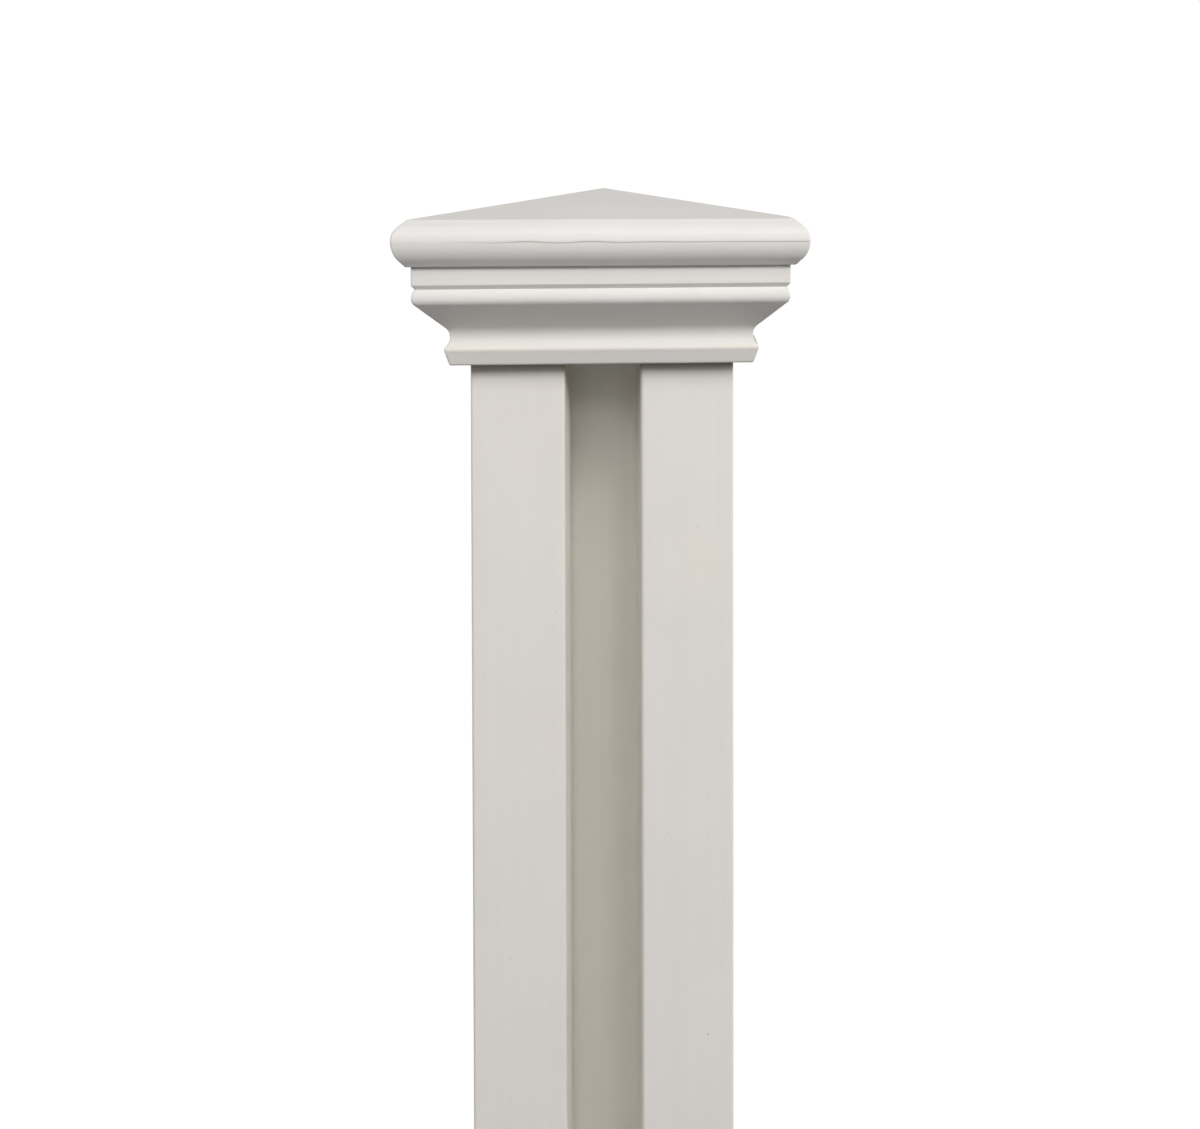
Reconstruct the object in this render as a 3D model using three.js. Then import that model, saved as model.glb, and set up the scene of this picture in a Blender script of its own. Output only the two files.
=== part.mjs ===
// A square fence post with a panel slot down its front, a moulded neck and a low pyramid cap.
//
// Millimetres, +Z up. The origin is the middle of the foot, at the ground line where the post is cut
// off flat. The slot faces -Y. Every piece but the slot is symmetric about both middle planes.

import * as THREE from 'three';

// Driving dimensions

const TOTAL_HEIGHT = 1220;        // ground line to the point of the cap
const FIT_GAP = 0.3;              // left between pieces that touch

const POST_WIDTH = 127;
const POST_ARRIS = 1.2;           // radius of the long outer corners

const SLOT_MOUTH = 36.8;          // width between the walls, at the front face
const SLOT_FLOOR = 32.4;          // the walls draw in towards the back of the slot
const SLOT_DEPTH = 50;
const SLOT_ARRIS = 1.9;           // rounded edges of the mouth
const SLOT_FILLET = 2.2;          // hollow corners at the back

const CAP_WIDTH = 200;
const CAP_EDGE = 22.7;            // thickness of the round edge
const CAP_SLOPE = 9.4;            // degrees, slope of the four top faces
const CAP_CREASE = 8;             // degrees, the break where a top face meets the round edge

const NECK_HEIGHT = 46.9;
const FASCIA_HALF = 90.7;         // half width over the flat face under the cap
const FASCIA_DROP = 8.1;          // height of that face
const GROOVE_HALF = 88.6;         // half width at the bottom of the groove
const GROOVE_DROP = 10.3;         // its place below the cap
const BEAD_HALF = 90.6;           // half width at the crown of the bead
const BEAD_DROP = 14.5;
const BEAD_LOWER_RADIUS = 3.7;    // where the bead turns in under itself
const THROAT_HALF = 72.9;         // narrowest place, in the cove
const THROAT_DROP = 34;
const COVE_UPPER_RADIUS = 4.6;    // where the splay runs into the cove
const LIP_HALF = 75.7;            // sharp edge below the cove
const LIP_DROP = 39.2;
const FOOT_HALF = 73;             // half width at the very bottom of the moulding

const ARC_STEP = 6;               // degrees turned by one facet of a moulded round
const CORNER_STEP = 15;           // degrees turned by one facet of a corner of the post

const PAINT = { color: 0xdad6d1, roughness: 0.42, metalness: 0 };

// The round edge of the cap, from its flat underside up to the crease, as half width and height.
const CAP_NOSE = arc(
  (CAP_WIDTH - CAP_EDGE) / 2,
  CAP_EDGE / 2,
  CAP_EDGE / 2,
  -90,
  90 - CAP_SLOPE - CAP_CREASE,
);
const CAP_SHOULDER = CAP_NOSE[CAP_NOSE.length - 1];
const CAP_HEIGHT = CAP_SHOULDER.y + CAP_SHOULDER.x * Math.tan(THREE.MathUtils.degToRad(CAP_SLOPE));
const CAP_FLOOR = TOTAL_HEIGHT - CAP_HEIGHT;

// Points of an arc round (cx, cy), from one angle to another, both in degrees.
function arc(cx, cy, radius, from, to, step = ARC_STEP) {
  const count = Math.max(2, Math.ceil(Math.abs(to - from) / step));
  return Array.from({ length: count + 1 }, (_, i) => {
    const angle = THREE.MathUtils.degToRad(from + ((to - from) * i) / count);
    return new THREE.Vector2(cx + radius * Math.cos(angle), cy + radius * Math.sin(angle));
  });
}

// Rounds one corner of an outline that runs from `before` through `corner` to `after`.
function roundedCorner(before, corner, after, radius) {
  const inward = before.clone().sub(corner).normalize();
  const outward = after.clone().sub(corner).normalize();
  const halfAngle = Math.acos(inward.dot(outward)) / 2;
  const start = corner.clone().addScaledVector(inward, radius / Math.tan(halfAngle));
  const end = corner.clone().addScaledVector(outward, radius / Math.tan(halfAngle));
  const bisector = inward.clone().add(outward).normalize();
  const centre = corner.clone().addScaledVector(bisector, radius / Math.sin(halfAngle));
  const from = THREE.MathUtils.radToDeg(start.clone().sub(centre).angle());
  let to = THREE.MathUtils.radToDeg(end.clone().sub(centre).angle());
  if (to - from > 180) to -= 360;
  if (from - to > 180) to += 360;
  return arc(centre.x, centre.y, radius, from, to, CORNER_STEP);
}

// A profile carried round a square with mitred corners. Its x is the half width, its y the height.
// Four turned segments make flat sides, and the radius at their corners is the half width times root 2.
function mitredSquare(profile) {
  const turned = profile.map((p) => new THREE.Vector2(p.x * Math.SQRT2, p.y));
  return new THREE.LatheGeometry(turned, 4, Math.PI / 4).rotateX(Math.PI / 2);
}

// The shaft: a slotted square section, straight from the ground up to the underside of the cap.
function buildPost() {
  const half = POST_WIDTH / 2;
  const slotBack = SLOT_DEPTH - half;
  const corners = [
    [-half, -half, POST_ARRIS],
    [-SLOT_MOUTH / 2, -half, SLOT_ARRIS],
    [-SLOT_FLOOR / 2, slotBack, SLOT_FILLET],
    [SLOT_FLOOR / 2, slotBack, SLOT_FILLET],
    [SLOT_MOUTH / 2, -half, SLOT_ARRIS],
    [half, -half, POST_ARRIS],
    [half, half, POST_ARRIS],
    [-half, half, POST_ARRIS],
  ];
  const points = corners.map(([x, y]) => new THREE.Vector2(x, y));
  const outline = corners.flatMap(([, , radius], i) => {
    const before = points[(i + points.length - 1) % points.length];
    const after = points[(i + 1) % points.length];
    return roundedCorner(before, points[i], after, radius);
  });
  return new THREE.ExtrudeGeometry(new THREE.Shape(outline), {
    depth: CAP_FLOOR - FIT_GAP,
    bevelEnabled: false,
  });
}

// Radius of an arc that is upright at (halfA, dropA) and passes through (halfB, dropB).
function uprightArcRadius(halfA, dropA, halfB, dropB) {
  const across = Math.abs(halfA - halfB);
  const along = Math.abs(dropA - dropB);
  return (across * across + along * along) / (2 * across);
}

// The moulding round the head of the post. Heights are measured down from the underside of the cap.
function buildNeckMoulding() {
  const beadRadius = uprightArcRadius(BEAD_HALF, BEAD_DROP, GROOVE_HALF, GROOVE_DROP);
  const beadStart = THREE.MathUtils.radToDeg(Math.asin((BEAD_DROP - GROOVE_DROP) / beadRadius));
  const coveRadius = uprightArcRadius(THROAT_HALF, THROAT_DROP, LIP_HALF, LIP_DROP);
  const coveEnd = THREE.MathUtils.radToDeg(Math.asin((LIP_DROP - THROAT_DROP) / coveRadius));

  // The splay touches the lower round of the bead and the upper round of the cove, and crosses between.
  const beadCentre = new THREE.Vector2(BEAD_HALF - BEAD_LOWER_RADIUS, -BEAD_DROP);
  const coveCentre = new THREE.Vector2(THROAT_HALF + COVE_UPPER_RADIUS, -THROAT_DROP);
  const apart = coveCentre.clone().sub(beadCentre);
  const lean = Math.acos((BEAD_LOWER_RADIUS + COVE_UPPER_RADIUS) / apart.length());
  const splay = THREE.MathUtils.radToDeg(apart.angle() + lean) - 360;

  const profile = [
    new THREE.Vector2(POST_WIDTH / 2 + FIT_GAP, -FIT_GAP),
    new THREE.Vector2(FASCIA_HALF, -FIT_GAP),
    new THREE.Vector2(FASCIA_HALF, -FASCIA_DROP),
    ...arc(BEAD_HALF - beadRadius, -BEAD_DROP, beadRadius, beadStart, 0),
    ...arc(beadCentre.x, beadCentre.y, BEAD_LOWER_RADIUS, 0, splay).slice(1),
    ...arc(coveCentre.x, coveCentre.y, COVE_UPPER_RADIUS, splay + 180, 180),
    ...arc(THROAT_HALF + coveRadius, -THROAT_DROP, coveRadius, 180, 180 + coveEnd).slice(1),
    new THREE.Vector2(FOOT_HALF, -NECK_HEIGHT),
    new THREE.Vector2(POST_WIDTH / 2 + FIT_GAP, -NECK_HEIGHT),
  ];
  profile.push(profile[0].clone());
  return mitredSquare(profile.reverse());
}

// The cap: a slab with a round edge, whose top falls away from a point in the middle.
function buildCap() {
  return mitredSquare([new THREE.Vector2(0, 0), ...CAP_NOSE, new THREE.Vector2(0, CAP_HEIGHT)]);
}

function paintedMesh(name, geometry, height) {
  const mesh = new THREE.Mesh(geometry, new THREE.MeshStandardMaterial(PAINT));
  mesh.name = name;
  mesh.position.z = height;
  return mesh;
}

const fencePost = new THREE.Group();
fencePost.add(
  paintedMesh('post', buildPost(), 0),
  paintedMesh('neck_moulding', buildNeckMoulding(), CAP_FLOOR),
  paintedMesh('cap', buildCap(), CAP_FLOOR),
);

export default fencePost;
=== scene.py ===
"""Dresses a slotted fence post with a moulded neck and a low pointed cap, and sets it in a plain pale studio.

Everything is in metres, +Z up. The slotted front of the post faces -Y and its foot stands on z = 0.
"""

import logging
import math
from collections.abc import Sequence
from dataclasses import dataclass, field
from enum import Enum

import bmesh
import bpy
from mathutils import Matrix, Vector, noise

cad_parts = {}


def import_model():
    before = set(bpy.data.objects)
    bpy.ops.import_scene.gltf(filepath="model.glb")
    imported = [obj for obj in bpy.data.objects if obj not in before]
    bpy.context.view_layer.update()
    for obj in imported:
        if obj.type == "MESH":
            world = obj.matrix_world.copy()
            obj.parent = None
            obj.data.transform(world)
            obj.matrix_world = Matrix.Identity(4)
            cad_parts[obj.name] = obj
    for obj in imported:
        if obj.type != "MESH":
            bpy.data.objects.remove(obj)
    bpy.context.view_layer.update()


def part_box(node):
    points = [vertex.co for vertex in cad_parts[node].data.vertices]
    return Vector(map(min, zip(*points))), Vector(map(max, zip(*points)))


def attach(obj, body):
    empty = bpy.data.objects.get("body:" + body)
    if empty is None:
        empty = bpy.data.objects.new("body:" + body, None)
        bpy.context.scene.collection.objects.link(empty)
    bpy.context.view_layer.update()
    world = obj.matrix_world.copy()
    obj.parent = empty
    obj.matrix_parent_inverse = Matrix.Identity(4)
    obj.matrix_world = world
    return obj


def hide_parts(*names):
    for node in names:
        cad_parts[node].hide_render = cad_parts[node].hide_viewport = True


MM = 0.001
BODY = "root"
FIT_GAP = 0.3 * MM  # left between the solids that touch
TINY = 0.01 * MM
SHARP_ANGLE = math.radians(50)
WHITE = 1.02  # strength of a surface that shows as pure white

log = logging.getLogger("fence_post")

Point2 = tuple[float, float]
Colour = tuple[float, float, float]


class Mask(Enum):
    """Surface masks that the meshes carry and the paint reads."""

    ARRIS = "arris"
    SEAM = "seam"
    # Painted shade: darkening right below the collar and under the cap.
    PAINTED_SHADE = "crevice"
    HOLLOW = "hollow"
    WEATHERED = "weathered"


class PaintSlot(Enum):
    """Material slots of the record, one for each piece."""

    POST = "post_paint"
    NECK = "neck_paint"
    CAP = "cap_paint"


class Joining(Enum):
    """Ways to make one value out of two."""

    PRODUCT = "MULTIPLY"
    LARGER = "MAXIMUM"


def arc(centre: Point2, radius: float, start: float, end: float, step: float = 4.0) -> list[Point2]:
    """Points of an arc.

    Args:
        centre: Middle of the circle.
        radius: Its radius.
        start: First angle, in degrees.
        end: Last angle, in degrees.
        step: Largest turn between two points, in degrees.

    Returns:
        The points, both ends included.
    """
    count = max(2, math.ceil(abs(end - start) / step))
    angles = [math.radians(start + (end - start) * i / count) for i in range(count + 1)]
    return [(centre[0] + radius * math.cos(a), centre[1] + radius * math.sin(a)) for a in angles]


def rounded_corner(before: Point2, corner: Point2, after: Point2, radius: float, step: float) -> list[Point2]:
    """Rounds one corner of an outline.

    Args:
        before: Point that the outline comes from.
        corner: The sharp corner.
        after: Point that the outline goes on to.
        radius: Radius of the rounding.
        step: Largest turn between two points, in degrees.

    Returns:
        Points of the rounding, from the side of `before` to the side of `after`.
    """
    tip = Vector(corner)
    inward = (Vector(before) - tip).normalized()
    outward = (Vector(after) - tip).normalized()
    half_angle = inward.angle(outward) / 2
    start = tip + inward * radius / math.tan(half_angle)
    end = tip + outward * radius / math.tan(half_angle)
    centre = tip + (inward + outward).normalized() * radius / math.sin(half_angle)
    first = math.degrees(math.atan2(*(start - centre).yx))
    last = math.degrees(math.atan2(*(end - centre).yx))
    last += 360 * round((first - last) / 360)
    return arc(tuple(centre), radius, first, last, step)


def supported(outline: Sequence[Point2], margin: float, spacing: float) -> list[Point2]:
    """Adds points along the long straight stretches of a closed outline, so that they shade flat.

    Args:
        outline: Corner and arc points, in order.
        margin: Distance of the first and last added point from the ends of a stretch.
        spacing: Largest distance between two points of a stretch.

    Returns:
        The outline with the added points.
    """
    full: list[Point2] = []
    for here, there in zip(outline, [*outline[1:], outline[0]]):
        a, b = Vector(here), Vector(there)
        length = (b - a).length
        full.append(here)
        if length > 4 * margin:
            inner = max(1, math.ceil((length - 2 * margin) / spacing))
            for i in range(inner + 1):
                along = margin + (length - 2 * margin) * i / inner
                full.append(tuple(a + (b - a) * along / length))
    return full


@dataclass(frozen=True)
class Speck:
    """A pinhole, a spot of dirt or a faint stain in the paint.

    Attributes:
        place: Where it is on the piece, in millimetres.
        radius: Its radius, in millimetres.
        strength: How much it shows, from 0 to 1.
    """

    place: tuple[float, float, float]
    radius: float
    strength: float


@dataclass(frozen=True)
class Relief:
    """Fine relief of the paint film, made by bump.

    Attributes:
        strength: How much it shows. A negative strength sinks it.
        depth: Its depth, in metres.
    """

    strength: float
    depth: float


@dataclass(frozen=True)
class PaintFinish:
    """Smooth off-white satin paint, brushed thin over the edges, with specks and faint yellowing, painted
    shade below the collar and under the cap, and painted bounce light inside the slot.

    Attributes:
        slot: Material slot of the record that it stands for.
        colour: Main colour, linear.
        warm: Colour of the faint yellowing and of the thin paint on edges, linear.
        painted_slot_light: Lighter, warmer colour inside the slot, painted bounce light that stands in for
            the light reflected between its walls, linear.
        grime_and_shade: Colour of what lies in joints and pinholes, also used for the painted shade below the
            collar and under the cap, linear.
        ior: Index of refraction.
        roughness: Lowest and highest roughness.
        outdoors: Whether rain and sun reach the piece's upper faces and dull them.
        chalky: Roughness and specular level of such dulled paint.
        gloss: Specular level of all other paint.
        shift: Moves the patterns, so that no two pieces match.
        cloud_scale: Slow clouds of yellowing to the metre.
        patch_scale: Patches of thicker and thinner paint to the metre.
        peel_scale: Fine dimples to the metre.
        nib_scale: Places for a pinhole or a nib to the metre.
        grain: Fine streaks to the metre along x, y and z.
        patch_shade: Darkest share of the colour in a patch.
        streak_shade: Darkest share of the colour in a streak.
        waves: Relief of the patches.
        peel: Relief of the dimples.
        brushing: Relief of the streaks.
        pitting: Relief of the pinholes and nibs.
        specks: Spots of dirt.
        stains: Faint yellow spots.
    """

    slot: PaintSlot
    colour: Colour = (0.785, 0.76, 0.735)
    warm: Colour = (0.80, 0.745, 0.66)
    painted_slot_light: Colour = (0.81, 0.783, 0.72)
    grime_and_shade: Colour = (0.30, 0.25, 0.20)
    ior: float = 1.47
    roughness: Point2 = (0.36, 0.48)
    outdoors: bool = False
    chalky: Point2 = (0.85, 0.08)
    gloss: float = 0.5
    shift: float = 0.0
    cloud_scale: float = 5.0
    patch_scale: float = 26.0
    peel_scale: float = 520.0
    nib_scale: float = 60.0
    grain: tuple[float, float, float] = (3.0, 3.0, 420.0)
    patch_shade: float = 0.974
    streak_shade: float = 0.984
    waves: Relief = Relief(0.10, 1.2 * MM)
    peel: Relief = Relief(0.10, 0.06 * MM)
    brushing: Relief = Relief(0.12, 0.1 * MM)
    pitting: Relief = Relief(-0.5, 0.2 * MM)
    specks: tuple[Speck, ...] = ()
    stains: tuple[Speck, ...] = ()

    def build(self) -> bpy.types.Material:
        """Builds the node material.

        Returns:
            The new material.
        """
        material = bpy.data.materials.new(self.slot.value)
        material.use_nodes = True
        tree = material.node_tree
        shader = tree.nodes["Principled BSDF"]
        shader.inputs["IOR"].default_value = self.ior
        shader.inputs["Specular IOR Level"].default_value = self.gloss
        place = self._node(tree, "ShaderNodeTexCoord").outputs["Object"]
        here = self._mapped(tree, place, (self.shift, 0.37 * self.shift, 1.9 * self.shift), (1.0, 1.0, 1.0))
        brushed = self._mapped(tree, here, (0.0, 0.0, 0.0), self.grain)
        streaks = self._noise(tree, brushed, scale=1.0, detail=3.0)

        clouds = self._noise(tree, here, scale=self.cloud_scale, detail=3.0)
        patches = self._noise(tree, here, scale=self.patch_scale, detail=4.0)
        dimples = self._noise(tree, here, scale=self.peel_scale, detail=2.0)

        yellowing = self._ramp(tree, clouds, (0.46, 0.72), (0.0, 0.3))
        colour = self._mix(tree, yellowing, self.colour, self.warm)
        # Painted bounce light: the inside of the slot is lighter and warmer than the rest of the paint.
        colour = self._mix(tree, self._mask(tree, Mask.HOLLOW), colour, self.painted_slot_light)
        for pattern, lowest in ((patches, self.patch_shade), (streaks, self.streak_shade)):
            colour = self._shade(tree, colour, self._ramp(tree, pattern, (0.3, 0.7), (lowest, 1.0)))
        thin = self._ramp(tree, patches, (0.3, 0.75), (0.2, 0.8))
        edge = self._join(tree, Joining.PRODUCT, self._mask(tree, Mask.ARRIS), thin)
        colour = self._mix(tree, edge, colour, self.warm)
        # Painted shade below the collar and under the cap, and real dirt in the seam, both mixed in the grime
        # colour.
        for shade_and_dirt in (Mask.PAINTED_SHADE, Mask.SEAM):
            colour = self._mix(tree, self._mask(tree, shade_and_dirt), colour, self.grime_and_shade)
        nibs = self._nibs(tree, here)
        colour = self._mix(tree, nibs, colour, self.grime_and_shade)
        for spots, tint in ((self.specks, self.grime_and_shade), (self.stains, self.warm)):
            for spot in spots:
                colour = self._mix(tree, self._spot(tree, place, spot), colour, tint)
        tree.links.new(colour, shader.inputs["Base Color"])

        rough = self._ramp(tree, patches, (0.3, 0.7), self.roughness)
        if self.outdoors:
            rough = self._dulled(tree, shader, rough)
        tree.links.new(rough, shader.inputs["Roughness"])
        layers = (
            (patches, self.waves),
            (dimples, self.peel),
            (streaks, self.brushing),
            (nibs, self.pitting),
        )
        tree.links.new(self._relief(tree, layers), shader.inputs["Normal"])
        return material

    def _dulled(
        self, tree: bpy.types.NodeTree, shader: bpy.types.Node, rough: bpy.types.NodeSocket
    ) -> bpy.types.NodeSocket:
        """Dulls the paint where rain and sun reach it.

        Args:
            tree: Tree to add to.
            shader: The paint's shader, whose specular level is set.
            rough: Roughness of sound paint.

        Returns:
            The roughness of the whole piece.
        """
        dull_roughness, dull_gloss = self.chalky
        weathered = self._mask(tree, Mask.WEATHERED)
        shine = self._ramp(tree, weathered, (0.0, 1.0), (self.gloss, dull_gloss))
        tree.links.new(shine, shader.inputs["Specular IOR Level"])
        dull = self._ramp(tree, weathered, (0.0, 1.0), (0.0, dull_roughness))
        return self._join(tree, Joining.LARGER, rough, dull)

    def _mapped(
        self,
        tree: bpy.types.NodeTree,
        place: bpy.types.NodeSocket,
        shift: tuple[float, float, float],
        scale: tuple[float, float, float],
    ) -> bpy.types.NodeSocket:
        """Scales and moves coordinates.

        Args:
            tree: Tree to add to.
            place: Coordinates.
            shift: How far they are moved.
            scale: How much they are scaled along each axis.

        Returns:
            The new coordinates.
        """
        node = self._node(tree, "ShaderNodeMapping")
        node.inputs["Location"].default_value = shift
        node.inputs["Scale"].default_value = scale
        tree.links.new(place, node.inputs["Vector"])
        return node.outputs["Vector"]

    def _node(self, tree: bpy.types.NodeTree, kind: str) -> bpy.types.Node:
        """Adds one node of that kind."""
        return tree.nodes.new(kind)

    def _noise(
        self, tree: bpy.types.NodeTree, place: bpy.types.NodeSocket, scale: float, detail: float
    ) -> bpy.types.NodeSocket:
        """Adds soft noise.

        Args:
            tree: Tree to add to.
            place: Coordinates.
            scale: Patterns to the metre.
            detail: Octaves.

        Returns:
            The noise value, about 0.5 on average.
        """
        node = self._node(tree, "ShaderNodeTexNoise")
        node.inputs["Scale"].default_value = scale
        node.inputs["Detail"].default_value = detail
        tree.links.new(place, node.inputs["Vector"])
        return node.outputs["Fac"]

    def _ramp(
        self, tree: bpy.types.NodeTree, value: bpy.types.NodeSocket, source: Point2, target: Point2
    ) -> bpy.types.NodeSocket:
        """Maps a value from one range to another, held at both ends.

        Args:
            tree: Tree to add to.
            value: The value.
            source: Range that it comes in.
            target: Range that it goes out in.

        Returns:
            The mapped value.
        """
        node = self._node(tree, "ShaderNodeMapRange")
        node.interpolation_type = "SMOOTHSTEP"
        tree.links.new(value, node.inputs["Value"])
        for name, number in zip(("From Min", "From Max", "To Min", "To Max"), (*source, *target)):
            node.inputs[name].default_value = number
        return node.outputs["Result"]

    def _join(
        self, tree: bpy.types.NodeTree, joining: Joining, a: bpy.types.NodeSocket, b: bpy.types.NodeSocket
    ) -> bpy.types.NodeSocket:
        """Makes one value out of two.

        Args:
            tree: Tree to add to.
            joining: How they are joined.
            a: One value.
            b: The other value.

        Returns:
            The joined value.
        """
        node = self._node(tree, "ShaderNodeMath")
        node.operation = joining.value
        tree.links.new(a, node.inputs[0])
        tree.links.new(b, node.inputs[1])
        return node.outputs["Value"]

    def _mask(self, tree: bpy.types.NodeTree, mask: Mask) -> bpy.types.NodeSocket:
        """Reads one of the masks that the mesh carries.

        Args:
            tree: Tree to add to.
            mask: Which mask.

        Returns:
            Its value.
        """
        node = self._node(tree, "ShaderNodeAttribute")
        node.attribute_name = mask.value
        return node.outputs["Fac"]

    def _mix(
        self,
        tree: bpy.types.NodeTree,
        factor: bpy.types.NodeSocket,
        a: bpy.types.NodeSocket | Colour,
        b: Colour,
    ) -> bpy.types.NodeSocket:
        """Mixes towards a plain colour.

        Args:
            tree: Tree to add to.
            factor: 0 gives a, 1 gives b.
            a: Colour or colour socket.
            b: Colour mixed in.

        Returns:
            The mixed colour.
        """
        node = self._node(tree, "ShaderNodeMix")
        node.data_type = "RGBA"
        tree.links.new(factor, node.inputs["Factor"])
        if isinstance(a, tuple):
            node.inputs["A"].default_value = (*a, 1.0)
        else:
            tree.links.new(a, node.inputs["A"])
        node.inputs["B"].default_value = (*b, 1.0)
        return node.outputs["Result"]

    def _shade(
        self, tree: bpy.types.NodeTree, colour: bpy.types.NodeSocket, amount: bpy.types.NodeSocket
    ) -> bpy.types.NodeSocket:
        """Darkens a colour.

        Args:
            tree: Tree to add to.
            colour: The colour.
            amount: Share of it that is left, up to 1.

        Returns:
            The darker colour.
        """
        node = self._node(tree, "ShaderNodeVectorMath")
        node.operation = "SCALE"
        tree.links.new(colour, node.inputs["Vector"])
        tree.links.new(amount, node.inputs["Scale"])
        return node.outputs["Vector"]

    def _nibs(self, tree: bpy.types.NodeTree, place: bpy.types.NodeSocket) -> bpy.types.NodeSocket:
        """Adds sparse pinholes and paint nibs under half a millimetre across.

        Args:
            tree: Tree to add to.
            place: Coordinates.

        Returns:
            A mask, strongest in the middle of each.
        """
        cells = self._node(tree, "ShaderNodeTexVoronoi")
        cells.inputs["Scale"].default_value = self.nib_scale
        tree.links.new(place, cells.inputs["Vector"])
        core, rim, strength = 0.012, 0.034, 0.3
        return self._ramp(tree, cells.outputs["Distance"], (core, rim), (strength, 0.0))

    def _spot(
        self, tree: bpy.types.NodeTree, place: bpy.types.NodeSocket, spot: Speck
    ) -> bpy.types.NodeSocket:
        """Adds one round soft-edged spot.

        Args:
            tree: Tree to add to.
            place: Coordinates of the piece, not moved.
            spot: Its place, size and strength.

        Returns:
            A mask, the spot's strength in its middle.
        """
        distance = self._node(tree, "ShaderNodeVectorMath")
        distance.operation = "DISTANCE"
        tree.links.new(place, distance.inputs[0])
        distance.inputs[1].default_value = [MM * along for along in spot.place]
        rim = spot.radius * MM
        core = 0.3 * rim
        return self._ramp(tree, distance.outputs["Value"], (core, rim), (spot.strength, 0.0))

    def _relief(
        self, tree: bpy.types.NodeTree, layers: Sequence[tuple[bpy.types.NodeSocket, Relief]]
    ) -> bpy.types.NodeSocket:
        """Stacks the fine relief of the paint film.

        Args:
            tree: Tree to add to.
            layers: Height and relief of each layer.

        Returns:
            The bent normal.
        """
        normal = None
        for height, relief in layers:
            node = self._node(tree, "ShaderNodeBump")
            node.invert = relief.strength < 0
            node.inputs["Strength"].default_value = abs(relief.strength)
            node.inputs["Distance"].default_value = relief.depth
            tree.links.new(height, node.inputs["Height"])
            if normal is not None:
                tree.links.new(normal, node.inputs["Normal"])
            normal = node.outputs["Normal"]
        return normal


FRONT_FACE = -63.5  # y of the post's front face, in millimetres
SLOT_BACK = -13.5  # y of the back of the slot, in millimetres


def spots_on(face: float, rows: Sequence[tuple[float, float, float, float]]) -> tuple[Speck, ...]:
    """Spots on one of the upright faces.

    Args:
        face: y of the face, in millimetres.
        rows: x, height, radius and strength of each spot.

    Returns:
        The spots.
    """
    return tuple(Speck((x, face, height), radius, strength) for x, height, radius, strength in rows)


FRONT_SPECKS = spots_on(
    FRONT_FACE,
    (
        (50.7, 926.7, 0.55, 0.25),
        (50.7, 905.1, 0.55, 0.3),
        (50.6, 899.7, 0.5, 0.25),
        (50.6, 897.3, 0.5, 0.2),
        (50.6, 875.2, 0.55, 0.25),
        (50.6, 867.9, 0.5, 0.2),
        (50.6, 855.1, 0.55, 0.25),
        (51.0, 808.4, 0.8, 0.5),
        (31.7, 907.1, 0.6, 0.25),
        (46.6, 1056.2, 0.65, 0.34),
        (52.8, 1033.4, 0.6, 0.24),
        (-58.8, 1097.7, 0.65, 0.2),
        (-50.1, 1091.8, 0.6, 0.16),
        (-57.0, 1065.7, 0.6, 0.14),
        (-45.4, 1058.4, 0.6, 0.12),
        (-35.3, 1045.7, 0.6, 0.24),
        (-22.3, 1015.1, 0.65, 0.24),
        (-57.8, 984.5, 0.7, 0.2),
    ),
)
SLOT_SPECKS = spots_on(
    SLOT_BACK,
    (
        (-11.5, 1090.6, 0.6, 0.3),
        (-11.6, 1081.2, 0.55, 0.22),
        (-15.6, 928.7, 0.6, 0.3),
        (-12.1, 926.2, 0.55, 0.25),
        (-13.7, 922.2, 0.55, 0.25),
        (-15.6, 918.2, 0.7, 0.45),
    ),
)
FRONT_STAINS = spots_on(
    FRONT_FACE,
    (
        (43.0, 1051.0, 8.0, 0.4),
        (49.0, 1043.0, 13.0, 0.52),
        (53.5, 1034.0, 9.0, 0.4),
        (43.0, 1030.0, 9.0, 0.27),
    ),
)


@dataclass(frozen=True)
class SoftSquare:
    """A square path with slightly rounded corners, sampled alike at every size.

    Attributes:
        corner: Radius of the corners.
        corner_steps: Facets in a corner.
        side_steps: Facets along a side.
        margin: Distance from a corner's end to the first point on the side.
        corner_share: Largest share of half the width that a corner takes.
        margin_share: Largest share of what is left that the margin takes.
    """

    corner: float = 0.7 * MM
    corner_steps: int = 4
    side_steps: int = 64
    margin: float = 0.3 * MM
    corner_share: float = 0.4
    margin_share: float = 0.2

    def ring(self, half: float) -> list[tuple[float, float, float]]:
        """Points once round, anticlockwise from the middle of a corner's end.

        Args:
            half: Half the width of the square.

        Returns:
            x, y and the place along the path, from 0 to 4, where whole numbers are corners.
        """
        radius = min(self.corner, self.corner_share * half)
        reach = half - radius
        margin = min(self.margin, self.margin_share * reach)
        steps = self.side_steps
        inner = [-reach + margin + 2 * (reach - margin) * i / steps for i in range(steps + 1)]
        stations = [-reach, *inner, reach]
        points = []
        for side in range(4):
            turn = side * math.pi / 2
            cos, sin = math.cos(turn), math.sin(turn)
            local = [(s, -half, 0.5 + s / (2 * half)) for s in stations]
            for i in range(1, self.corner_steps):
                angle = -math.pi / 2 + math.pi / 2 * i / self.corner_steps
                along = i / self.corner_steps * 0.5 * radius / half
                local.append((reach + radius * math.cos(angle), -reach + radius * math.sin(angle), 1 + along))
            points += [(x * cos - y * sin, x * sin + y * cos, side + along) for x, y, along in local]
        return points


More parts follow.
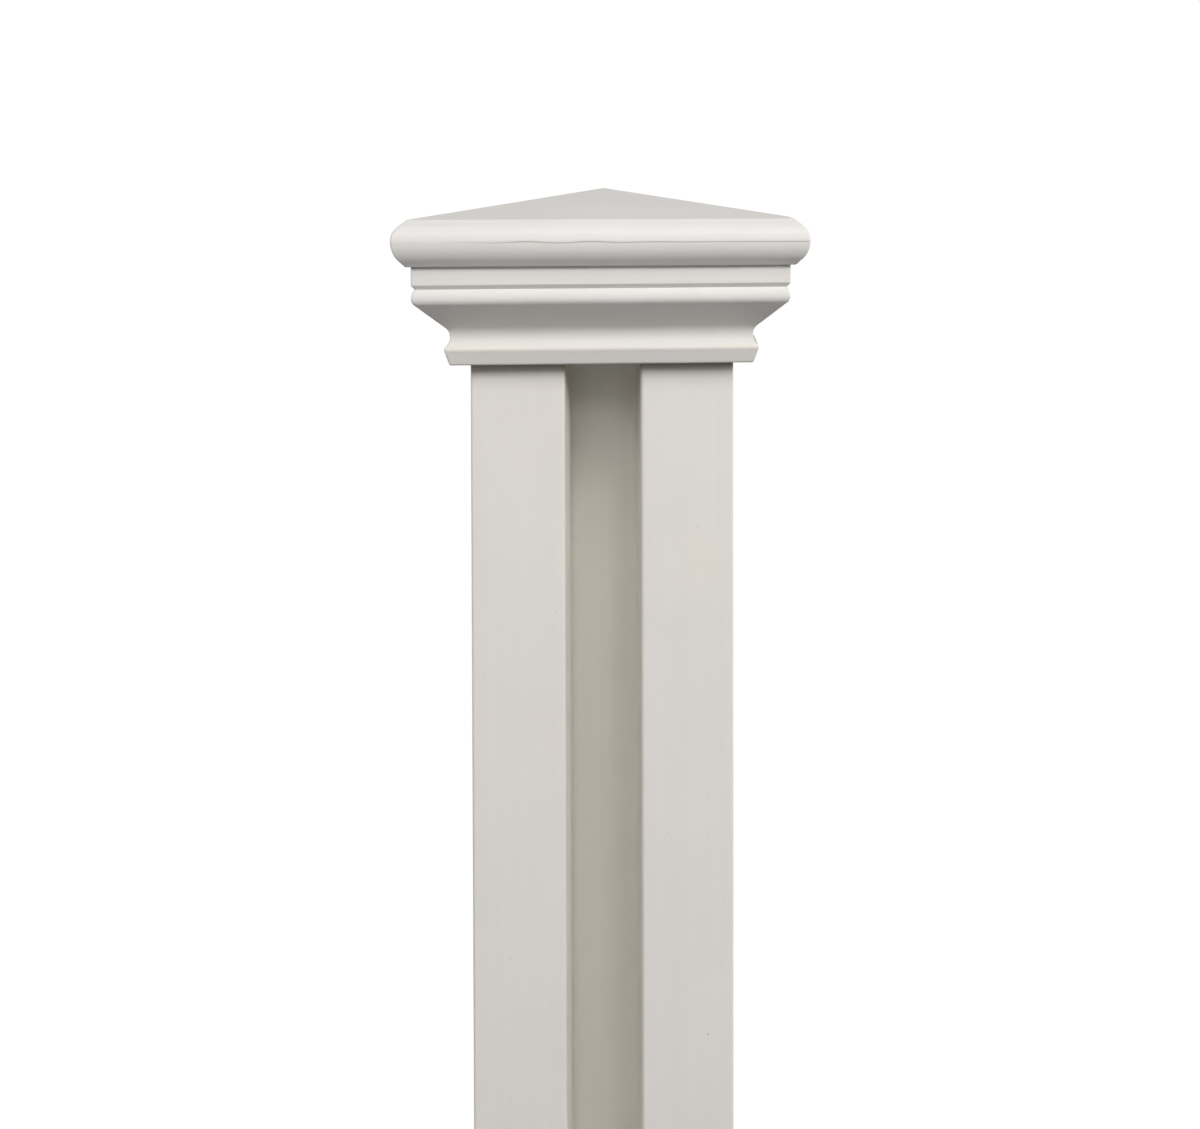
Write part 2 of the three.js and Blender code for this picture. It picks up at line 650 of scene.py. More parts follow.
@dataclass
class MeshDraft:
    """Vertices, faces and masks of a piece that is being built.

    Attributes:
        vertices: Places of the vertices, in metres.
        faces: Vertices of each face.
        masks: Value at each marked vertex, for each mask.
    """

    vertices: list[Vector] = field(default_factory=list)
    faces: list[tuple[int, ...]] = field(default_factory=list)
    masks: dict[Mask, dict[int, float]] = field(default_factory=dict)

    def mark(self, mask: Mask, index: int, amount: float) -> None:
        """Gives one vertex a mask value.

        Args:
            mask: Which mask.
            index: The vertex.
            amount: The value, up to 1. Nothing is kept for 0.
        """
        if amount > 0:
            self.masks.setdefault(mask, {})[index] = amount

    def join_rings(self, lower: Sequence[int], upper: Sequence[int]) -> None:
        """Joins two rings of vertices with faces.

        Args:
            lower: Indices of one ring, or a single pole.
            upper: Indices of the next ring, or a single pole.
        """
        count = max(len(lower), len(upper))
        for i in range(count):
            j = (i + 1) % count
            below = (lower[i % len(lower)], lower[j % len(lower)])
            above = (upper[j % len(upper)], upper[i % len(upper)])
            self.faces.append(tuple(dict.fromkeys(below + above)))

    def piece(self, name: str, slot: PaintSlot, finish: bpy.types.Material) -> bpy.types.Object:
        """Turns the draft into a shown piece of the object.

        Args:
            name: Name of the piece.
            slot: Material slot of the record; not used.
            finish: Its material.

        Returns:
            The new object, riding on the post's body.
        """
        mesh = bpy.data.meshes.new(name)
        mesh.from_pydata(self.vertices, [], self.faces)
        work = bmesh.new()
        work.from_mesh(mesh)
        bmesh.ops.triangulate(work, faces=[f for f in work.faces if len(f.verts) > 4])
        bmesh.ops.recalc_face_normals(work, faces=work.faces)
        work.to_mesh(mesh)
        work.free()
        for mask in Mask:
            layer = mesh.attributes.new(mask.value, "FLOAT", "POINT")
            for index, amount in self.masks.get(mask, {}).items():
                layer.data[index].value = amount
        mesh.polygons.foreach_set("use_smooth", [True] * len(mesh.polygons))
        mesh.set_sharp_from_angle(angle=SHARP_ANGLE)
        mesh.materials.append(finish)
        piece = bpy.data.objects.new(name, mesh)
        bpy.context.scene.collection.objects.link(piece)
        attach(piece, BODY)
        return piece


def uneven(point: Vector, size: float, depth: float, seed: float) -> float:
    """Slow unevenness of a sanded and painted surface.

    Args:
        point: Place on the surface.
        size: Length over which it changes.
        depth: Largest height.
        seed: Moves the pattern.

    Returns:
        A height between -depth and depth.
    """
    return depth * noise.noise(point / size + Vector((seed, seed, seed)))


@dataclass
class Shaft:
    """The square post with the panel slot down its front.

    Attributes:
        foot: Lowest corner of the solid.
        head: Highest corner of the solid.
        collar: Height of the lower end of the neck moulding.
        arris: Radius of the outer corners.
        slot_shift: How far the slot stands right of the middle.
        slot_mouth: Width of the slot between its walls, at the front.
        slot_floor: Its width at the back.
        slot_depth: Its depth.
        slot_arris: Radius of the edges of the mouth.
        slot_fillet: Radius of the hollow corners at the back.
        foot_chamfer: Small bevel round the cut foot.
        station: Distance between two sections along the post.
        fine_top: How far above the collar's lower end the closer sections start.
        fine_step: Distance between two of them.
        fine_count: How many there are.
        fine_clear: Distance that the other sections keep from them.
        grid: Distance between two points across a face.
        margin: Distance of the first of them from a corner.
        round_step: Largest turn of one facet of a corner, in degrees.
        flatness: Largest unevenness of a face.
        flat_length: Length over which a face is uneven.
        collar_shade: Strength and reach of the painted contact shadow right below the collar, where the
            collar shades the post.
        collar_shade_bias: How much farther it reaches at the left than at the middle, as a fraction.
        collar_shade_start: How far below the collar it begins to fade.
        collar_shade_behind: How far it goes on up behind the collar, from there.
    """

    foot: Vector
    head: Vector
    collar: float
    arris: float = 1.2 * MM
    slot_shift: float = 0.4 * MM
    slot_mouth: float = 36.4 * MM
    slot_floor: float = 32.4 * MM
    slot_depth: float = 50 * MM
    slot_arris: float = 1.9 * MM
    slot_fillet: float = 3.2 * MM
    foot_chamfer: float = 0.6 * MM
    station: float = 9 * MM
    fine_top: float = 3 * MM
    fine_step: float = 0.75 * MM
    fine_count: int = 11
    fine_clear: float = 1 * MM
    grid: float = 6 * MM
    margin: float = 0.3 * MM
    round_step: float = 11.5
    flatness: float = 0.06 * MM
    flat_length: float = 50 * MM
    collar_shade: Point2 = (0.98, 3.8 * MM)
    collar_shade_bias: float = 0.35
    collar_shade_start: float = 0.5 * MM
    collar_shade_behind: float = 2 * MM

    @property
    def half(self) -> float:
        """Half the width of the post."""
        return self.head.x

    def section(self) -> tuple[list[Point2], list[Mask | None]]:
        """The slotted section.

        Returns:
            The outline, anticlockwise from the front left corner, and the mask of each of its points.
        """
        half, back = self.half, self.slot_depth - self.half
        left, right = self.slot_shift - self.slot_mouth / 2, self.slot_shift + self.slot_mouth / 2
        inner_left, inner_right = self.slot_shift - self.slot_floor / 2, self.slot_shift + self.slot_floor / 2
        corners = [
            (-half, -half, self.arris),
            (left, -half, self.slot_arris),
            (inner_left, back, self.slot_fillet),
            (inner_right, back, self.slot_fillet),
            (right, -half, self.slot_arris),
            (half, -half, self.arris),
            (half, half, self.arris),
            (-half, half, self.arris),
        ]
        outline: list[Point2] = []
        rounds: set[Point2] = set()
        for i, (x, y, radius) in enumerate(corners):
            before, after = corners[i - 1][:2], corners[(i + 1) % len(corners)][:2]
            points = rounded_corner(before, (x, y), after, radius, self.round_step)
            outline += points
            if radius != self.slot_fillet:
                rounds.update(points[1:-1])
        full = supported(outline, self.margin, self.grid)
        return full, [self._mask_at(p, rounds) for p in full]

    def _heights(self, bottom: float, top: float) -> list[float]:
        """Heights of the sections, closer together at the foot and right below the collar.

        Args:
            bottom: Height of the foot.
            top: Height of the head.

        Returns:
            The heights, from the foot up.
        """
        start = bottom + self.foot_chamfer
        count = math.ceil((top - start) / self.station)
        regular = [start + (top - start) * i / count for i in range(count + 1)]
        fine = [self.collar + self.fine_top - self.fine_step * i for i in range(self.fine_count)]
        low, high = fine[-1] - self.fine_clear, fine[0] + self.fine_clear
        spread = [z for z in regular if not low < z < high]
        return [bottom, *sorted([*spread, *fine])]

    def _collar_shade_at(self, x: float, height: float) -> float:
        """Painted contact shadow right below the collar, where the collar shades the post.

        Args:
            x: Place across the post.
            height: Height of the place.

        Returns:
            Its strength, from 0 to 1.
        """
        strength, reach = self.collar_shade
        reach *= 1 - self.collar_shade_bias * x / self.half
        below = self.collar - self.collar_shade_start - height
        return strength * max(0.0, 1 - max(0.0, below) / reach) if below > -self.collar_shade_behind else 0.0

    def _mask_at(self, point: Point2, rounds: set[Point2]) -> Mask | None:
        """Mask of a point of the section.

        Args:
            point: The point.
            rounds: The points of the outer and slot edges.

        Returns:
            The mask of a worn edge or of the inside of the slot, or none.
        """
        x, y = point
        if point in rounds:
            return Mask.ARRIS
        in_slot = abs(x - self.slot_shift) < self.slot_mouth / 2 and abs(y + self.half) > self.slot_arris / 2
        return Mask.HOLLOW if in_slot and y < self.half - self.arris else None

    def build(self, finish: bpy.types.Material) -> bpy.types.Object:
        """Builds the shaft.

        Args:
            finish: Paint for it.

        Returns:
            The piece.
        """
        outline, masks = self.section()
        bottom = self.foot.z
        heights = self._heights(bottom, self.head.z)
        draft = MeshDraft()
        rings: list[list[int]] = []
        for height in heights:
            inset = self.foot_chamfer if height == bottom else 0.0
            ring: list[int] = []
            for (x, y), mask in zip(outline, masks):
                place = Vector((x, y, height))
                hollow = self.flatness + uneven(place, self.flat_length, self.flatness, seed=3.1)
                shrink = 1 - (hollow + inset) / self.half
                ring.append(len(draft.vertices))
                draft.vertices.append(Vector((x * shrink, y * shrink, height)))
                if mask is not None:
                    draft.mark(mask, ring[-1], 1.0)
                # Painted contact shadow below the collar, on all but the inside of the slot.
                if mask is not Mask.HOLLOW:
                    draft.mark(Mask.PAINTED_SHADE, ring[-1], self._collar_shade_at(x, height))
            rings.append(ring)
        for lower, upper in zip(rings, rings[1:]):
            draft.join_rings(lower, upper)
        draft.faces.append(tuple(reversed(rings[0])))
        draft.faces.append(tuple(rings[-1]))
        piece = draft.piece("post_shaft", PaintSlot.POST, finish)
        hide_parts("post")
        return piece


@dataclass
class NeckMoulding:
    """The moulding round the head of the post: fascia, groove, bead, splay, cove and splayed fillet.

    Its edges are given as half a width and a drop below the cap's floor.

    Attributes:
        cap_floor: Height of the floor of the cap's solid.
        bore: Half the width of the hole for the post.
        head: Height of its upper end above that floor.
        fascia: Lower edge of the flat face under the cap.
        groove: Bottom of the groove.
        bead: Crown of the bead.
        bead_lower_radius: Radius where the bead turns in under itself.
        throat: Narrowest place, in the cove.
        cove_upper_radius: Radius where the splay runs into the cove.
        lip: Edge below the cove.
        foot: Outer edge of its lower end.
        head_soft: Radius on the upper edge of the fascia.
        soft: Radius on its lower edge.
        lip_soft: Radius on the lip.
        lip_share: How many points of the cove that radius takes the place of.
        foot_soft: Radius round the foot.
        grid: Distance between two points along the profile.
        margin: Distance of the first of them from an edge.
        flatness: Largest unevenness of a face.
        flat_length: Length over which a face is uneven.
        under_cap_shade: Strength of the painted shade right under the cap, where the cap's overhang shades
            the top of the fascia.
        under_cap_shade_reach: How far below its upper end that begins to fade, and where it is gone.
        lean: Rise to the right at its top and at its foot, as a fraction, because it is fixed
            slightly out of level.
        path: Plan of the moulding.
    """

    cap_floor: float
    bore: float
    head: float = 0.36 * MM
    fascia: Point2 = (90.7 * MM, 8.28 * MM)
    groove: Point2 = (88.95 * MM, 10.3 * MM)
    bead: Point2 = (90.6 * MM, 14.9 * MM)
    bead_lower_radius: float = 3.8 * MM
    throat: Point2 = (72.9 * MM, 33.45 * MM)
    cove_upper_radius: float = 5.7 * MM
    lip: Point2 = (76.1 * MM, 38.85 * MM)
    foot: Point2 = (73.2 * MM, 47.0 * MM)
    head_soft: float = 0.35 * MM / 3
    soft: float = 0.35 * MM
    lip_soft: float = 2.3 * MM
    lip_share: int = 5
    foot_soft: float = 1.2 * MM
    grid: float = 4 * MM
    margin: float = 0.25 * MM
    flatness: float = 0.05 * MM
    flat_length: float = 60 * MM
    under_cap_shade: float = 0.03
    under_cap_shade_reach: Point2 = (1.2 * MM, 3 * MM)
    lean: Point2 = (0.0056, 0.0089)
    path: SoftSquare = SoftSquare(corner=0.6 * MM)

    def profile(self) -> tuple[list[Point2], dict[Point2, tuple[Mask, float]]]:
        """The section of the moulding.

        Returns:
            The closed outline as half width and height above the cap's floor, and the masks of its edges.
        """
        bead_radius = self._upright_radius(self.bead, self.groove)
        bead_start = math.degrees(math.asin((self.bead[1] - self.groove[1]) / bead_radius))
        cove_radius = self._upright_radius(self.throat, self.lip)
        cove_end = math.degrees(math.asin((self.lip[1] - self.throat[1]) / cove_radius))
        bead_centre = Vector((self.bead[0] - self.bead_lower_radius, -self.bead[1]))
        cove_centre = Vector((self.throat[0] + self.cove_upper_radius, -self.throat[1]))
        apart = cove_centre - bead_centre
        swing = math.acos((self.bead_lower_radius + self.cove_upper_radius) / apart.length)
        splay = math.degrees(math.atan2(apart.y, apart.x) + swing)

        top, bottom = self.head, -self.foot[1]
        fascia_top, fascia_foot = (self.fascia[0], top), (self.fascia[0], -self.fascia[1])
        groove = (self.groove[0], -self.groove[1])
        upper_bead = arc((self.bead[0] - bead_radius, -self.bead[1]), bead_radius, bead_start, 0)
        lower_bead = arc(tuple(bead_centre), self.bead_lower_radius, 0, splay)
        upper_cove = arc(tuple(cove_centre), self.cove_upper_radius, splay + 180, 180)
        cove = arc((self.throat[0] + cove_radius, -self.throat[1]), cove_radius, 180, 180 + cove_end)
        lip, foot = cove[-1], (self.foot[0], bottom)
        inner_top, inner_foot = (self.bore, top), (self.bore, bottom)

        marks: dict[Point2, tuple[Mask, float]] = {}
        fascia_soft = rounded_corner(fascia_top, fascia_foot, groove, self.soft, step=20)
        lip_soft = rounded_corner(cove[-self.lip_share - 1], lip, foot, self.lip_soft, step=10)
        foot_soft = rounded_corner(lip, foot, inner_foot, self.foot_soft, step=15)
        for points in (fascia_soft, lip_soft, foot_soft):
            marks.update({p: (Mask.ARRIS, 1.0) for p in points})
        fascia_head = rounded_corner(inner_top, fascia_top, fascia_foot, self.head_soft, step=20)
        # Painted shade: the top of the fascia, under the cap's overhang, is darkened and fades out downwards.
        under_cap_shade_points = [(self.fascia[0], top - reach) for reach in self.under_cap_shade_reach]
        marks.update({p: (Mask.PAINTED_SHADE, self.under_cap_shade) for p in fascia_head})
        marks[under_cap_shade_points[0]] = (Mask.PAINTED_SHADE, self.under_cap_shade)
        outline = [
            inner_top,
            *fascia_head,
            *under_cap_shade_points,
            *fascia_soft,
            groove,
            *upper_bead[1:],
            *lower_bead[1:],
            *upper_cove,
            *cove[1 : -self.lip_share],
            *lip_soft,
            *foot_soft,
            inner_foot,
        ]
        return outline, marks

    def _upright_radius(self, upright: Point2, other: Point2) -> float:
        """Radius of an arc that is upright at one point and passes through another.

        Args:
            upright: The point where it is upright.
            other: The other point.

        Returns:
            The radius.
        """
        across, along = upright[0] - other[0], upright[1] - other[1]
        return (across**2 + along**2) / (2 * abs(across))

    def build(self, finish: bpy.types.Material) -> bpy.types.Object:
        """Carries the profile round the post with softened mitres.

        Args:
            finish: Paint for it.

        Returns:
            The piece.
        """
        outline, marks = self.profile()
        outline = supported(outline, self.margin, self.grid)
        draft = MeshDraft()
        rings: list[list[int]] = []
        level, more = self.lean[0], self.lean[1] - self.lean[0]
        for half, height in outline:
            mask, amount = marks.get((half, height), (Mask.ARRIS, 0.0))
            ring: list[int] = []
            for x, y, _ in self.path.ring(half):
                place = Vector((x, y, self.cap_floor + height))
                waver = uneven(place, self.flat_length, self.flatness, seed=8.7) + self.flatness
                shrink = 1 - waver / half if half > self.bore else 1.0
                ring.append(len(draft.vertices))
                tilt = x * (level - more * height / self.foot[1])
                draft.vertices.append(Vector((x * shrink, y * shrink, place.z + tilt)))
                draft.mark(mask, ring[-1], amount)
            rings.append(ring)
        for lower, upper in zip(rings, [*rings[1:], rings[0]]):
            draft.join_rings(lower, upper)
        piece = draft.piece("neck_mould", PaintSlot.NECK, finish)
        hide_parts("neck_moulding")
        return piece


@dataclass
class Cap:
    """The slab on top, with its half-round edge and the low four-sided point.

    Attributes:
        floor: Height of the floor of its solid.
        point: Height of its point.
        half: Half its width.
        edge: Thickness of the slab, twice the radius of the lower half of its edge.
        shoulder: Profile of the upper half, as inset from the widest place and height above the
            floor, in millimetres. It ends at the crease with the top faces.
        lift: Height of the flat underside above the floor.
        chin: Inset of the flat underside, where the chamfer under the lower half ends.
        chin_angle: Where that chamfer leaves the round, in degrees below the middle.
        chin_parts: Places of the points across the chamfer, as a fraction.
        arc_step: Largest turn of one facet of the round, in degrees.
        margin: Distance of the first points of the flat faces from their edges.
        under_rings: Rings of points under the cap.
        slant_rings: Rings of points on the top faces.
        ridge: How far the ridge along the edge stands out over the lower half.
        ridge_width: How soon the ridge fades down the edge.
        seam_depth: Depth of the fine line on the ridge.
        seam_width: Its width.
        seam_rise: Its height above the middle of the edge.
        wander: How far it strays up and down where it strays most.
        wander_length: Length of one stray.
        wander_crest: Where it stands highest, left of the middle of a side.
        wander_place: Where it strays most, right of the middle of a side.
        wander_reach: How soon it calms down on both sides of that.
        seam_start: Where it comes to light, right of the middle of a side.
        seam_fade: Length over which it comes to light.
        seam_clear: How clearly it shows, and how much more so where it strays most.
        lean: Rise to the right of its edge and of its underside, as a fraction, because it is
            fixed slightly out of level and is not quite even.
        path: Plan of the cap.
    """

    floor: float
    point: float
    half: float
    edge: float = 22.7 * MM
    shoulder: tuple[Point2, ...] = (
        (0.01, 11.65),
        (0.06, 12.4),
        (0.13, 13.05),
        (0.28, 14.11),
        (0.52, 15.17),
        (0.82, 16.02),
        (1.16, 16.66),
        (1.96, 17.72),
        (2.96, 18.79),
        (4.17, 19.85),
        (5.00, 20.38),
        (6.30, 21.45),
        (7.45, 22.40),
        (7.72, 22.62),
    )
    lift: float = 0.39 * MM
    chin: float = 6.75 * MM
    chin_angle: float = 52.0
    chin_parts: tuple[float, ...] = (0.0, 0.1, 0.5, 0.9)
    arc_step: float = 3.0
    margin: float = 0.4 * MM
    under_rings: int = 6
    slant_rings: int = 14
    ridge: float = 0.25 * MM
    ridge_width: float = 2.2 * MM
    seam_depth: float = 0.1 * MM
    seam_width: float = 1.2 * MM
    seam_rise: float = 0.45 * MM
    wander: float = 0.35 * MM
    wander_length: float = 32 * MM
    wander_crest: float = 36 * MM
    wander_place: float = -22 * MM
    wander_reach: float = 42 * MM
    seam_start: float = -76 * MM
    seam_fade: float = 40 * MM
    seam_clear: Point2 = (0.85, 0.15)
    lean: Point2 = (0.0009, 0.0047)
    path: SoftSquare = SoftSquare(corner=0.8 * MM, side_steps=96)

    @property
    def radius(self) -> float:
        """Radius of the half-round edge."""
        return self.edge / 2

    def profile(self) -> list[Point2]:
        """The section of one half of the cap.

        Returns:
            Half width and height above the floor, from the underside's middle to the point.
        """
        centre = (self.half - self.radius - self.ridge, self.radius)
        seam = math.degrees(self.seam_width / 2 / self.radius)
        lower = arc(centre, self.radius, -self.chin_angle, -seam, self.arc_step)
        line = arc(centre, self.radius, -seam, 0, step=seam / 2)[1:]
        upper = [(self.half - inset * MM, height * MM) for inset, height in self.shoulder]

        edge = self.half - self.chin
        flat = [(edge * i / self.under_rings, self.lift) for i in range(self.under_rings)]
        under = [*flat, (edge - self.margin, self.lift)]
        across, rise = lower[0][0] - edge, lower[0][1] - self.lift
        chamfer = [(edge + across * part, self.lift + rise * part) for part in self.chin_parts]

        crease_half, crease_height = upper[-1]
        pitch = (self.point - self.floor - crease_height) / crease_half
        runs = [crease_half * i / self.slant_rings for i in range(1, self.slant_rings + 1)]
        slant = [(crease_half - run, crease_height + run * pitch) for run in (self.margin, *runs)]
        return [*under, *chamfer, *lower, *line, *upper, *slant]

    def seam(self, along: float) -> tuple[float, float]:
        """Course of the fine line.

        Args:
            along: Place round the cap, from 0 to 4.

        Returns:
            How far it strays up, in metres, and how clearly it shows, from 0 to 1.
        """
        place = (along % 1 - 0.5) * 2 * self.half
        unrest = math.exp(-(((place - self.wander_place) / self.wander_reach) ** 2))
        wave = math.cos(math.tau * (place + self.wander_crest) / self.wander_length)
        shown = min(1.0, max(0.0, (place - self.seam_start) / self.seam_fade))
        clear, clearer = self.seam_clear
        return self.seam_rise + self.wander * unrest * wave, shown * (clear + clearer * unrest)

    def build(self, finish: bpy.types.Material) -> bpy.types.Object:
        """Builds the cap.

        Args:
            finish: Paint for it.

        Returns:
            The piece.
        """
        draft = MeshDraft()
        rings: list[list[int]] = []
        level, under = self.lean
        crease = self.half - self.shoulder[-1][0] * MM
        for half, height in self.profile():
            wear = 1.0 if height > self.radius and half < crease - TINY else 0.0
            if half < TINY:
                rings.append([len(draft.vertices)])
                draft.mark(Mask.WEATHERED, rings[-1][0], wear)
                draft.vertices.append(Vector((0, 0, self.floor + height)))
                continue
            ring: list[int] = []
            for x, y, along in self.path.ring(half):
                up, out, seam = self._ridge_at(half, height, along)
                scale = (half + out) / half
                tilt = x * (level + (under - level) * max(0.0, 1 - height / self.radius))
                ring.append(len(draft.vertices))
                draft.vertices.append(Vector((x * scale, y * scale, self.floor + height + up + tilt)))
                draft.mark(Mask.SEAM, ring[-1], seam)
                draft.mark(Mask.WEATHERED, ring[-1], wear)
            rings.append(ring)
        for lower, upper in zip(rings, rings[1:]):
            draft.join_rings(lower, upper)
        piece = draft.piece("cap_slab", PaintSlot.CAP, finish)
        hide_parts("cap")
        return piece

    def _ridge_at(self, half: float, height: float, along: float) -> tuple[float, float, float]:
        """Ridge and fine line along the middle of the edge.

        Args:
            half: Half width of the point of the profile.
            height: Its height above the floor.
            along: Place round the cap, from 0 to 4.

        Returns:
            The shift up, the shift out, and the fine line's mask.
        """
        offset, reach = height - self.radius, self.shoulder[-1][1] * MM - self.radius
        if half < self.half - self.radius or offset > reach:
            return 0.0, 0.0, 0.0
        rise, clear = self.seam(along)
        if offset > TINY:
            return rise * (1 - offset / reach), 0.0, 0.0
        line = clear if abs(offset) < self.seam_width / 8 else 0.0
        near = math.exp(offset / self.ridge_width)
        return rise * near, self.ridge * near - self.seam_depth * line, line


@dataclass(frozen=True)
class Softbox:
    """A soft light that looks at the head of the post.

    Attributes:
        name: Name of the light.
        azimuth: Degrees to the right of the front.
        elevation: Degrees above the head of the post.
        distance: From the head of the post, in metres.
        size: Width and height, in metres.
        power: Power, in watts.
    """

    name: str
    azimuth: float
    elevation: float
    distance: float
    size: Point2
    power: float


@dataclass
class Studio:
    """Camera, soft lights, pale floor and white surround.

    Attributes:
        apex: Height of the cap's point, which is also the camera's height.
        face: Distance of the post's front face from its middle.
        photo_width: Width of the picture, in pixels.
        photo_height: Its height, in pixels.
        focal: Focal length, in pixels.
        distance: From the camera to the front face.
        horizon: Row of the horizon.
        axis_column: Column on which the middle of the post stands.
        offset: How far the camera stands to the right of the post's middle.
        roll: Turn of the picture, in degrees.
        sensor: Width of the camera's sensor, in millimetres.
        floor_radius: Radius of the floor.
        floor_fade: Distances from the post where the floor begins to whiten and where it is white.
        paper: Colour of the floor, linear.
        paper_roughness: Its roughness.
        aim_drop: How far below the cap's point the lights look.
        ambient: Strength of the light from all round.
        softboxes: The lights: a broad arc over the front, and fills from above, below, the sides and
            behind.
    """

    apex: float
    face: float
    photo_width: int = 1200
    photo_height: int = 1129
    focal: float = 5000.0
    distance: float = 2.415
    horizon: float = 188.0
    axis_column: float = 602.3
    offset: float = 0.044
    roll: float = 0.145
    sensor: float = 36.0
    floor_radius: float = 3.2
    floor_fade: Point2 = (0.5, 3.104)
    paper: Colour = (0.86, 0.86, 0.85)
    paper_roughness: float = 0.9
    aim_drop: float = 0.1
    ambient: float = 0.135
    softboxes: tuple[Softbox, ...] = (
        Softbox("front_left", -36, 24, 2.4, (0.8, 0.75), 9.4),
        Softbox("front_middle", -14, 30, 2.4, (0.7, 0.5), 2.8),
        Softbox("front_low", 8, 21, 2.4, (0.8, 0.45), 4.6),
        Softbox("front_high", 8, 48, 2.4, (0.8, 0.8), 6.0),
        Softbox("front_right", 26, 40, 2.4, (0.75, 0.75), 11.3),
        Softbox("right_low", 46, 21, 3.4, (1.15, 0.7), 46.5),
        Softbox("overhead", 0, 85, 2.0, (1.0, 1.0), 3.7),
        Softbox("underneath", 0, -15, 2.2, (1.2, 0.5), 2.9),
        Softbox("behind_high", 180, 19, 3.0, (2.4, 0.9), 3.5),
        Softbox("side_left", -105, 4, 3.0, (2.0, 1.4), 22),
        Softbox("side_right", 105, 4, 3.0, (2.0, 1.4), 22),
        Softbox("behind", 180, -12, 3.0, (2.4, 0.9), 32),
    )

    def camera(self) -> bpy.types.Object:
        """Sets the camera where the picture was taken from.

        Returns:
            The camera.
        """
        data = bpy.data.cameras.new("camera")
        data.sensor_width = self.sensor
        data.lens = self.focal * self.sensor / self.photo_width
        camera = bpy.data.objects.new("camera", data)
        pitch = math.atan((self.photo_height / 2 - self.horizon) / self.focal)
        bearing = math.atan(self.offset / self.distance)
        yaw = bearing + math.atan((self.axis_column - self.photo_width / 2) / self.focal)
        camera.matrix_world = (
            Matrix.Translation((self.offset, -self.face - self.distance, self.apex))
            @ Matrix.Rotation(yaw, 4, "Z")
            @ Matrix.Rotation(math.pi / 2 - pitch, 4, "X")
            @ Matrix.Rotation(math.radians(-self.roll), 4, "Z")
        )
        bpy.context.scene.collection.objects.link(camera)
        bpy.context.scene.camera = camera
        return camera

    def hang(self, box: Softbox) -> bpy.types.Object:
        """Hangs a soft light that looks at the head of the post.

        Args:
            box: The light's place, size and power.

        Returns:
            The light.
        """
        data = bpy.data.lights.new(box.name, "AREA")
        data.shape = "RECTANGLE"
        data.size, data.size_y = box.size
        data.energy = box.power
        light = bpy.data.objects.new(box.name, data)
        azimuth, elevation = math.radians(box.azimuth), math.radians(box.elevation)
        level = math.cos(elevation)
        away = Vector((math.sin(azimuth) * level, -math.cos(azimuth) * level, math.sin(elevation)))
        light.location = Vector((0, 0, self.apex - self.aim_drop)) + away * box.distance
        light.rotation_euler = away.to_track_quat("Z", "Y").to_euler()
        light.visible_camera = False
        bpy.context.scene.collection.objects.link(light)
        return light

    def surround(self) -> None:
        """Makes the surround white to look at and dim as a source of light."""
        world = bpy.data.worlds.new("surround")
        world.use_nodes = True
        bpy.context.scene.world = world
        tree = world.node_tree
        output = tree.nodes["World Output"]
        seen = tree.nodes["Background"]
        seen.inputs["Color"].default_value = (1.0, 1.0, 1.0, 1.0)
        seen.inputs["Strength"].default_value = WHITE
        glow = tree.nodes.new("ShaderNodeBackground")
        glow.inputs["Strength"].default_value = self.ambient
        glow.inputs["Color"].default_value = (1.0, 1.0, 1.0, 1.0)
        path = tree.nodes.new("ShaderNodeLightPath")
        mix = tree.nodes.new("ShaderNodeMixShader")
        tree.links.new(path.outputs["Is Camera Ray"], mix.inputs["Fac"])
        tree.links.new(glow.outputs["Background"], mix.inputs[1])
        tree.links.new(seen.outputs["Background"], mix.inputs[2])
        tree.links.new(mix.outputs["Shader"], output.inputs["Surface"])

    def floor(self) -> bpy.types.Object:
        """Lays a pale round floor that fades into the white surround at its rim.

        Returns:
            The floor.
        """
        work = bmesh.new()
        bmesh.ops.create_circle(work, cap_ends=True, segments=96, radius=self.floor_radius)
        mesh = bpy.data.meshes.new("floor")
        work.to_mesh(mesh)
        work.free()
        floor = bpy.data.objects.new("floor", mesh)
        floor.visible_diffuse = False
        floor.visible_glossy = False
        mesh.materials.append(self._floor_finish())
        bpy.context.scene.collection.objects.link(floor)
        return floor

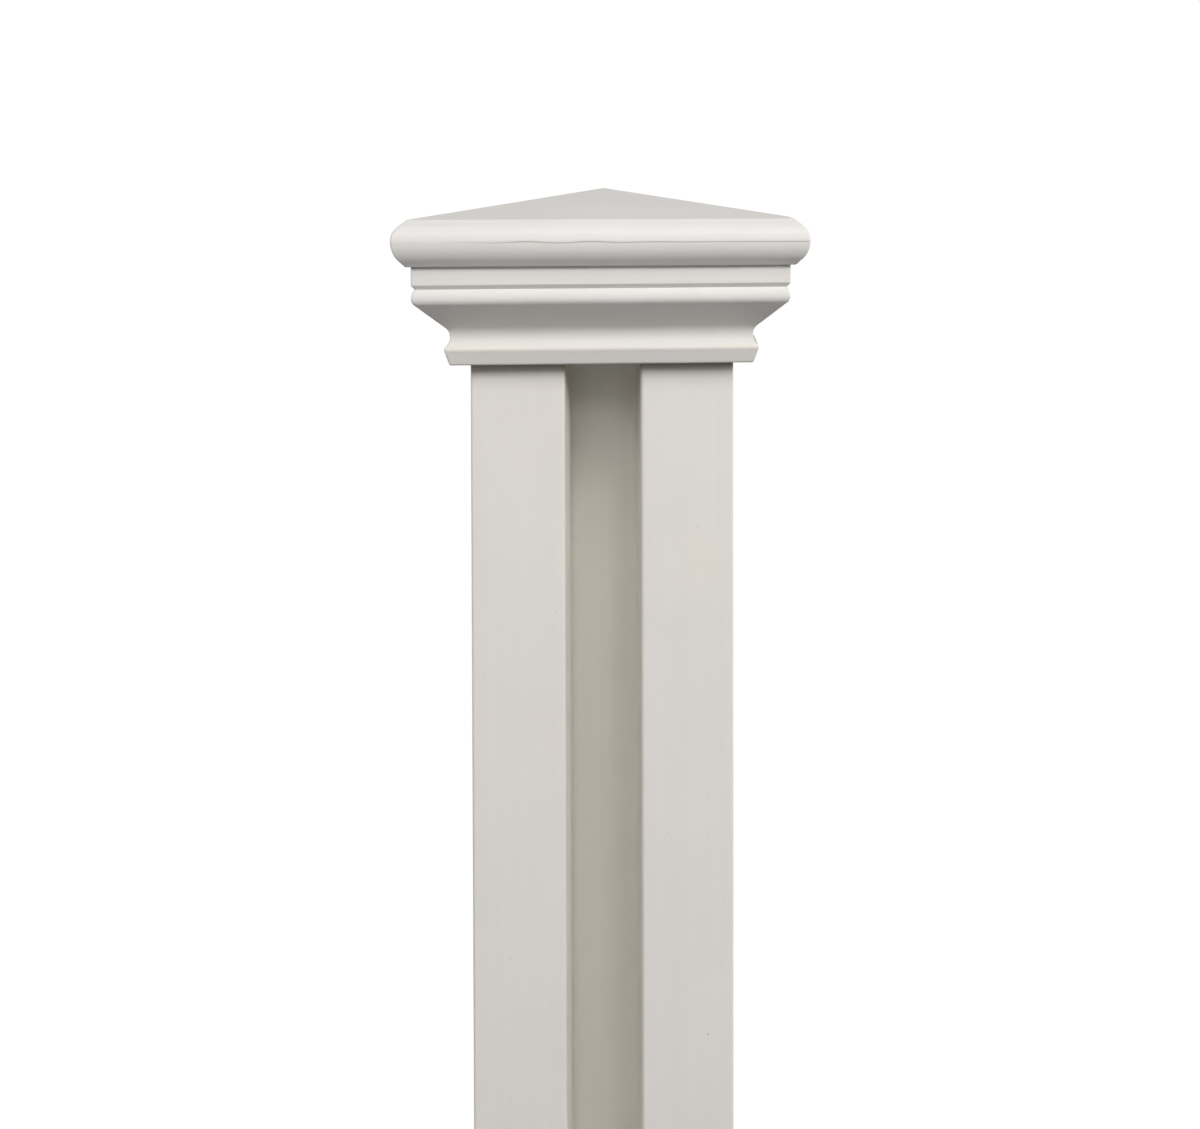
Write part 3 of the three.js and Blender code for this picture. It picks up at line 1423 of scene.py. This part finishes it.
    def _floor_finish(self) -> bpy.types.Material:
        """Pale matt paper that turns to plain white towards the rim.

        Returns:
            The new material.
        """
        material = bpy.data.materials.new("floor_paper")
        material.use_nodes = True
        tree = material.node_tree
        paper = tree.nodes["Principled BSDF"]
        paper.inputs["Base Color"].default_value = (*self.paper, 1.0)
        paper.inputs["Roughness"].default_value = self.paper_roughness
        white = tree.nodes.new("ShaderNodeEmission")
        white.inputs["Strength"].default_value = WHITE
        place = tree.nodes.new("ShaderNodeTexCoord")
        length = tree.nodes.new("ShaderNodeVectorMath")
        length.operation = "LENGTH"
        tree.links.new(place.outputs["Object"], length.inputs[0])
        fade = tree.nodes.new("ShaderNodeMapRange")
        fade.interpolation_type = "SMOOTHERSTEP"
        fade.inputs["From Min"].default_value, fade.inputs["From Max"].default_value = self.floor_fade
        tree.links.new(length.outputs["Value"], fade.inputs["Value"])
        mix = tree.nodes.new("ShaderNodeMixShader")
        tree.links.new(fade.outputs["Result"], mix.inputs["Fac"])
        tree.links.new(paper.outputs["BSDF"], mix.inputs[1])
        tree.links.new(white.outputs["Emission"], mix.inputs[2])
        tree.links.new(mix.outputs["Shader"], tree.nodes["Material Output"].inputs["Surface"])
        return material


def main() -> None:
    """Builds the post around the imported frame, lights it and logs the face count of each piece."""
    logging.basicConfig(level=logging.INFO, format="%(name)s: %(message)s")
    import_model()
    post_low, post_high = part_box("post")
    neck_low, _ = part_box("neck_moulding")
    cap_low, cap_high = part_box("cap")

    studio = Studio(apex=cap_high.z, face=post_high.x)
    studio.camera()
    for softbox in studio.softboxes:
        studio.hang(softbox)
    studio.surround()
    studio.floor()

    shaft = Shaft(foot=post_low, head=post_high, collar=neck_low.z)
    neck = NeckMoulding(cap_floor=cap_low.z, bore=post_high.x + FIT_GAP)
    cap = Cap(floor=cap_low.z, point=cap_high.z, half=cap_high.x)
    post_paint = PaintFinish(
        PaintSlot.POST,
        colour=(0.795, 0.76, 0.725),
        grain=(360.0, 360.0, 3.0),
        specks=FRONT_SPECKS + SLOT_SPECKS,
        stains=FRONT_STAINS,
    )
    for part, finish in (
        (shaft, post_paint),
        (neck, PaintFinish(PaintSlot.NECK, shift=4.3)),
        (cap, PaintFinish(PaintSlot.CAP, shift=9.1, outdoors=True)),
    ):
        piece = part.build(finish.build())
        log.info("%s: %d faces", piece.name, len(piece.data.polygons))

    bpy.context.scene.view_settings.view_transform = "Standard"


if __name__ == "__main__":
    main()
